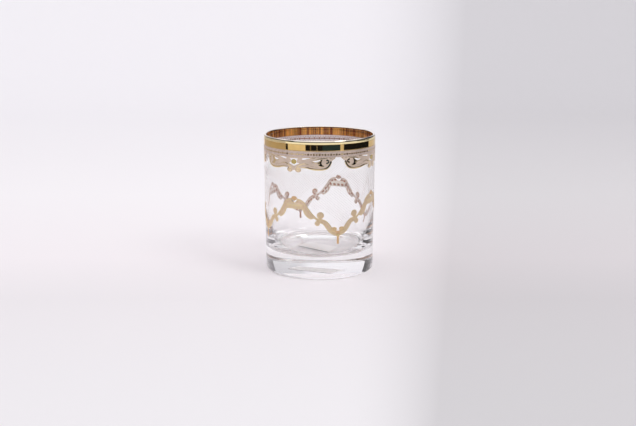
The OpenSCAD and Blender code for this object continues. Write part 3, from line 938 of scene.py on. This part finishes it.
def archRelief(relief, x, z, d):
    # Lines of the ornament run at set distances from the band's top, measured square to it;
    # beads and dashes are spaced evenly along the band's own length.
    ax = np.abs(x)
    top = np.interp(ax, topLine[:, 0], topLine[:, 1])
    foot = np.interp(ax, footLine[:, 0], footLine[:, 1])
    line = (topLine[:, 1] + np.interp(topLine[:, 0], footLine[:, 0], footLine[:, 1])) / 2
    length = np.concatenate([[0], np.cumsum(np.hypot(np.diff(topLine[:, 0]), np.diff(line)))])
    # a hair is added to each x, so that no two are equal where the slope divides by their gap
    steepness = np.gradient(line, topLine[:, 0] + np.arange(len(line)) * 1e-9)
    lean = np.interp(ax, topLine[:, 0], steepness)
    squeeze = 1 / np.sqrt(1 + lean ** 2)
    fromTop = (top - z) * squeeze
    width = (top - foot) * squeeze
    along = np.interp(ax, topLine[:, 0], length) + (top - z) * lean * squeeze * squeeze * -0.5

    def row(name):
        return stripe(fromTop - archRows[name][0], archRows[name][1])

    # from the top: a row of dashes, a clear line, a row of square beads, and a clear line
    step = archRows["step"]
    dash = np.maximum(stripe(nearest(along - step / 2, step), archRows["dashHalf"]), row("dash"))
    relief.add(dash, lift=0.04, shine=0.1, mark=1.0, soft=0.12)
    relief.add(row("clear"), lift=0.05, shine=0.35, mark=0.0, soft=0.15)
    bead = np.maximum(stripe(nearest(along, step), archRows["beadHalf"]), row("bead"))
    relief.add(bead, lift=0.06, shine=0.1, mark=1.0, soft=0.12)
    relief.add(row("lowClear"), lift=0.05, shine=0.35, mark=0.0, soft=0.15)
    # leaves down to the foot, each with a darker outline
    step = archRows["leafStep"]
    leaf = np.hypot(nearest(along - step / 2, step), (width - fromTop - 1.0) * 1.1) - archRows["leaf"]
    leaf = np.maximum(np.maximum(leaf, archRows["leafTop"] - fromTop), 6.6 - ax)
    relief.add(leaf, lift=0.06, shine=0.15, mark=0.5)
    outline = np.maximum(stripe(leaf + 0.6, 0.14), archRows["leafTop"] + 0.1 - fromTop)
    relief.add(outline, lift=0.03, shine=0.3, mark=0.95, soft=0.15)
    # a second row of beads under the opening, a glow over them, and a burnished edge
    (underZ, underTall), (glowZ, glowTall) = archRows["under"], archRows["glow"]
    under = stripe(nearest(ax, archRows["underStep"]), archRows["underHalf"])
    under = np.maximum(np.maximum(under, stripe(z - underZ, underTall)), ax - 6.8)
    relief.add(under, lift=0.05, shine=0.4, mark=0.85, soft=0.15)
    glow = np.maximum(ax - 6.5, stripe(z - glowZ, glowTall))
    relief.add(glow, lift=0.0, shine=0.6, mark=None, soft=0.6)
    relief.add(stripe(d + 0.28, 0.26), lift=0.03, shine=0.75, mark=0.2)


def crownRelief(relief, x, z, d):
    # a line a little inside the edge and a small boss, on a ground that is partly marked
    relief.mark += 0.35
    relief.add(stripe(d + 0.3, 0.2), lift=0.05, shine=0.3, mark=0.8)
    boss = ovalDistance(x, z, 0, *garland["boss"])
    relief.dome(boss, size=0.5, lift=0.08, shine=0.3, mark=0.9)


def rosetteRelief(relief, x, z, d):
    # a brown scroll line that winds in over a pale, half burnished ground
    relief.shine += 0.45
    for (a, cz, r), edge, start, turns, count, widths in (
            (garland["rosette"], 0.45, -100, 1.6, 60, [0.42, 0.4, 0.2, 0.2]),
            (garland["smallRosette"], 0.42, 80, -1.3, 50, [0.36, 0.34, 0.18, 0.18])):
        coil = spiral(a * perDegree, cz, r - edge, 0.1, start, turns, count)
        coil = strokeDistance(np.abs(x), z, widthLine(coil, widths))
        relief.add(coil, lift=0.05, shine=0.15, mark=1.0)


def knotRelief(relief, x, z, d):
    # each scroll has a burnished rim and a brighter heart, and the web has two veins
    relief.mark += 0.5
    scroll = scrollDistance(x, z)
    relief.add(stripe(scroll + 0.35, 0.22), lift=0.05, shine=0.75, mark=0.1)
    relief.add(scroll + 1.0, lift=0.05, shine=0.55, mark=0.3, soft=0.3)
    for side in (-1, 1):
        vein = widthLine(onPaper(garland["vein"]) * (side, 1), [0.16, 0.2, 0.14])
        relief.add(strokeDistance(x, z, vein), lift=0.04, shine=0.5, mark=0.1)


def pendantRelief(relief, x, z, d):
    # a bright cushion on the bead and a paler line down the drop
    relief.mark += 0.8
    bead = np.hypot(x, z - garland["bead"][0]) - 1.0
    relief.dome(bead, size=1.0, lift=0.08, shine=1.0, mark=0.4)
    relief.add(stripe(x, 0.22), lift=0.03, shine=0.6, mark=0.8)


printRows([
    ("garlandArch", "garland_arch", "garland_gold", 0, lowX, (31.0, 58.4),
     archShape, archRelief, "garland", 0.2),
    ("archCrown", "arch_crown", "crown_gold", 0, 2.4, (56.3, 59.5),
     crownDistance, crownRelief, "warm", 0.16),
    ("rosetteGroup", "rosette_group", "rosette_gold", 0, 21.8, (38.8, 49.0),
     rosetteDistance, rosetteRelief, "garland", 0.16),
    ("scrollKnot", "scroll_knot", "scroll_gold", 45, 5.0, (31.0, 38.4),
     knotDistance, knotRelief, "warm", 0.16),
    ("pendant", "pendant", "pendant_gold", 45, 1.5, (25.6, 33.6),
     pendantDistance, pendantRelief, "warm", 0.16)], True)
print("garland made")

# Hairlines on the clear wall between frieze and garland
hatch = {
    "lines": 117, "top": 75.5, "slope": 41.0, "halfWidth": 0.07, "lift": 0.05, "clear": 0.8,
    "longest": 44, "rosetteHalf": 3, "rosetteTop": 49.8,
}


def hatchDepth(start, run):
    # how far down each line goes: it walks down until it meets the garland or a rosette's top
    drop = np.linspace(0, hatch["longest"], 221)
    a = (start[:, None] + drop * run) / perDegree % 360
    local = np.abs((a + 45) % 90 - 45) * perDegree
    limit = np.interp(local, topLine[:, 0], topLine[:, 1]) + climbAt(a)
    rosette = np.abs(local - garland["rosette"][0] * perDegree) < hatch["rosetteHalf"]
    limit = np.where(rosette, np.maximum(limit, hatch["rosetteTop"]), limit) + hatch["clear"]
    return drop[np.argmax(hatch["top"] - drop < limit, 1)]


def makeHatch():
    # Each hairline is a thin bar on the wall, x = x0 + (top - z) / tan(slope): four rows of points
    # across it, two sunk in the wall and two raised.
    start = np.arange(hatch["lines"]) / hatch["lines"] * paper["round"]
    angle = math.radians(hatch["slope"])
    run = 1 / math.tan(angle)
    depth = hatchDepth(start, run)[:, None] * np.linspace(0, 1, 41)
    x, z = start[:, None] + depth * run, hatch["top"] - depth
    bars = []
    low, high = -paper["sink"], hatch["lift"]
    for side, out in ((-1, low), (-0.6, high), (0.6, high), (1, low)):
        px = x + side * hatch["halfWidth"] * math.sin(angle)
        pz = z + side * hatch["halfWidth"] * math.cos(angle)
        turn = np.radians(printTurn(px / perDegree))
        bars.append(aroundAxis(turn, wallRadius(pz) + out, pz))
    points = np.stack(bars, 2)
    index = np.arange(x.size * 4).reshape(*x.shape, 4)
    around = np.roll(index, -1, 2)
    quads = np.stack([index[:, :-1], around[:, :-1], around[:, 1:], index[:, 1:]], -1).reshape(-1, 4)
    ends = np.concatenate([index[:, 0, ::-1], index[:, -1]])
    return makeMesh("hatchLines", points.reshape(-1, 3), [quads, ends])


placePiece(makeHatch(), [finish["frost"]], [])
print("hatch made")

label = {"length": 27.0, "width": 14.0, "thick": 0.1, "x": -1.4, "front": 5.3, "turn": -31.0}


def makeLabel():
    # a flat grid bent onto the hollow under the base, with a second layer below it
    u, v = np.meshgrid(
        np.linspace(-0.5, 0.5, 37) * label["length"], np.linspace(-0.5, 0.5, 57) * label["width"],
        indexing="ij")
    t = math.radians(label["turn"])
    x = label["x"] + u * math.cos(t) - v * math.sin(t)
    y = -label["front"] + u * math.sin(t) + v * math.cos(t)
    top = puntLevel(np.hypot(x, y))
    points = np.concatenate([
        np.stack([x, y, level], -1).reshape(-1, 3) for level in (top + 0.01, top - label["thick"])])
    n = u.size
    index = np.arange(n).reshape(u.shape)
    quads = gridQuads(index)
    loop = np.concatenate([index[:, 0], index[-1, 1:], index[-2::-1, -1], index[0, -2:0:-1]])
    after = np.roll(loop, -1)
    side = np.stack([after, loop, loop + n, after + n], 1)
    # painted shadow: the long edge on the camera's side is marked as shaded, over about a millimetre
    paintedShadow = np.clip((1.15 - (v + label["width"] / 2)) / 0.35, 0, 1).ravel()
    return makeMesh("baseLabel", points, [quads, quads[:, ::-1] + n, side], {"mark": np.tile(paintedShadow, 2)})


placePiece(makeLabel(), [finish["paper"]], ["base_label"])
print("label made")

# From here on lengths are metres. The paper's tones, painted light and shade, are places along
# its ramp, from the camera's side to the back.
studio = {
    "depth": 0.9, "bend": 0.7, "height": 2.6, "front": -2.2, "halfWidth": 2.6, "gap": 0.00003,
    "rampSpan": (-0.3, 1.3), "slant": (0.6, 0.15, 0.022), "paintedFalloff": 13.0, "darkest": 0.75,
    "tones": [(0.0375, (0.81, 0.793, 0.8)), (0.1375, (0.815, 0.785, 0.795)), (0.2, (0.89, 0.848, 0.86)),
              (0.344, (0.92, 0.897, 0.903)), (0.9, (0.905, 0.89, 0.905))],
}


def makeSweep():
    # a floor that bends up into a wall by a quarter circle, carried across in nine columns
    s = studio
    t = np.linspace(0, math.pi / 2, 24)[1:]
    y = np.concatenate([
        np.linspace(s["front"], s["depth"], 12), s["depth"] + s["bend"] * np.sin(t),
        [s["depth"] + s["bend"]]])
    z = np.concatenate([np.zeros(12), s["bend"] * (1 - np.cos(t)), [s["height"]]]) - s["gap"]
    x, y = np.meshgrid(np.linspace(-s["halfWidth"], s["halfWidth"], 9), y, indexing="ij")
    points = np.stack(np.broadcast_arrays(x, y, z), -1).reshape(-1, 3)
    return makeMesh("studioSweep", points / mm, [gridQuads(np.arange(x.size).reshape(x.shape))])


def sweepMaterial():
    # Painted light and shade: the paper is brightest behind the glass and greys off towards the front,
    # by a ramp, and to the right: aside = x / (y + 0.6) less a little, and the tone falls with its
    # square.
    material, tree = newMaterial("sweepPaper")
    x, y, _ = coordinates(tree)
    back, least, free = studio["slant"]
    deep = calculate(tree, "MAXIMUM", calculate(tree, "ADD", y, back), least)
    aside = calculate(tree, "SUBTRACT", calculate(tree, "DIVIDE", x, deep), free)
    aside = calculate(tree, "MAXIMUM", aside, 0.0)
    # painted shade: the paper greys off to the right, as light falling off would make it
    paintedFalloff = calculate(tree, "MULTIPLY", calculate(tree, "MULTIPLY", aside, aside), studio["paintedFalloff"])
    side = calculate(tree, "MAXIMUM", calculate(tree, "SUBTRACT", 1.0, paintedFalloff), studio["darkest"])
    paintedLightRamp = addNode(tree, "ValToRGB", {"Fac": sharpen(tree, y, *studio["rampSpan"])})
    while len(paintedLightRamp.color_ramp.elements) < len(studio["tones"]):
        paintedLightRamp.color_ramp.elements.new(0.5)
    for element, (place, colour) in zip(paintedLightRamp.color_ramp.elements, studio["tones"]):
        element.position, element.color = place, opaque(colour)
    shade = addNode(
        tree, "VectorMath", {0: paintedLightRamp.outputs["Color"], "Scale": side}, operation="SCALE")
    return dressed(material, {
        "Base Color": shade.outputs[0], "Roughness": 0.9, "Specular IOR Level": 0.1})


sweep = makeSweep()
sweep.data.materials.append(sweepMaterial())


def flag(name, turns, radius, heights, shade, rays):
    # a curved card that stands round the glass and is seen only in its reflections or, where
    # rays says so, only through it; turns are degrees from the camera's side, to the right
    t = np.radians(np.linspace(*turns, max(3, int(abs(turns[1] - turns[0]) / 3) + 1)))
    r = np.broadcast_to(radius, 2)
    points = np.concatenate([aroundAxis(t, r[k], heights[k]) for k in (0, 1)])
    n = len(t)
    i = np.arange(n - 1)
    card = makeMesh(name, points / mm, [np.stack([i, i + 1, i + 1 + n, i + n], 1)])
    card.data.materials.append(dressed(newMaterial(name)[0], {
        "Base Color": opaque(shade), "Roughness": 1.0, "Specular IOR Level": 0.0}))
    card.visible_camera = card.visible_diffuse = card.visible_shadow = card.visible_volume_scatter = False
    card.visible_glossy = rays == "glossy"
    card.visible_transmission = rays == "transmission"


black, teal, brown = (0.015, 0.018, 0.03), (0.03, 0.065, 0.12), (0.2, 0.17, 0.14)
mirrorCards = [
    (-69.0, -63.8, black), (-27.1, -18.2, black), (-18.2, -16.2, brown), (-16.2, -4.9, black),
    (-4.6, 5.5, black), (5.5, 40.4, teal), (47.5, 115, black)]
for number, (left, right, shade) in enumerate(mirrorCards):
    flag(f"mirrorCard{number + 1}", (left, right), 0.36, (0.0175, 0.075), shade, "glossy")
for card in (
        ("greyFlag", (-150, -69), 0.38, (0.001, 0.3), (0.5, 0.47, 0.45), "glossy"),
        ("upperFlag", (-80, 80), 0.9, (0.19, 1.0), black, "glossy"),
        ("leftUpperFlag", (-150, -80), 0.9, (0.11, 0.7), black, "glossy"),
        ("rightUpperFlag", (80, 150), 0.9, (0.11, 0.7), black, "glossy"),
        ("leftShade", (-140, -55), 0.5, (0.0, 0.42), (0.004, 0.004, 0.004), "transmission"),
        ("rightShade", (54, 137), 0.5, (0.0, 0.4), (0.2, 0.19, 0.2), "transmission"),
        ("ceilingShade", (0, 360), (0.001, 0.28), (1.0, 1.0), (0.03, 0.03, 0.03), "transmission")):
    flag(*card)

scene = bpy.context.scene
scene.world = bpy.data.worlds.new("studioWorld")
scene.world.use_nodes = True
background = scene.world.node_tree.nodes["Background"]
background.inputs["Color"].default_value = (0.975, 0.965, 1.0, 1.0)
background.inputs["Strength"].default_value = 1.0

lamp = {"way": (0.7, -0.5, 0.9), "far": 1.6, "target": (0, 0, 0.05), "size": 0.6, "power": 5.0}


def keyLamp():
    # a disc that stands a set way off the origin and faces its target
    light = bpy.data.lights.new("keyLamp", "AREA")
    light.shape, light.size, light.energy = "DISK", lamp["size"], lamp["power"]
    piece = bpy.data.objects.new("keyLamp", light)
    scene.collection.objects.link(piece)
    place = np.array(lamp["way"]) / np.linalg.norm(lamp["way"]) * lamp["far"]
    piece.location = place
    way = lamp["target"] - place
    x, y, z = way / np.linalg.norm(way)
    piece.rotation_euler = (math.acos(-z), 0, math.atan2(y, x) - math.pi / 2)


keyLamp()

# focal length and picture width in the photograph's pixels, tilt in degrees below the horizon
view = {"focal": 924, "width": 636, "place": (-0.0011, -0.65796, 0.18951), "tilt": 12.866}
camera = bpy.data.cameras.new("photoCamera")
camera.sensor_width = 36.0
camera.lens = view["focal"] / view["width"] * 36
cameraObject = bpy.data.objects.new("photoCamera", camera)
cameraObject.location = view["place"]
cameraObject.rotation_euler = (math.radians(90 - view["tilt"]), 0, 0)
scene.collection.objects.link(cameraObject)
scene.camera = cameraObject
scene.view_settings.view_transform = "Standard"
# light crosses the thick base many times, so its path is followed far and without blur
scene.cycles.max_bounces = 48
scene.cycles.transmission_bounces = 48
scene.cycles.glossy_bounces = 48
scene.cycles.diffuse_bounces = 8
scene.cycles.blur_glossy = 0.0
print("studio made")
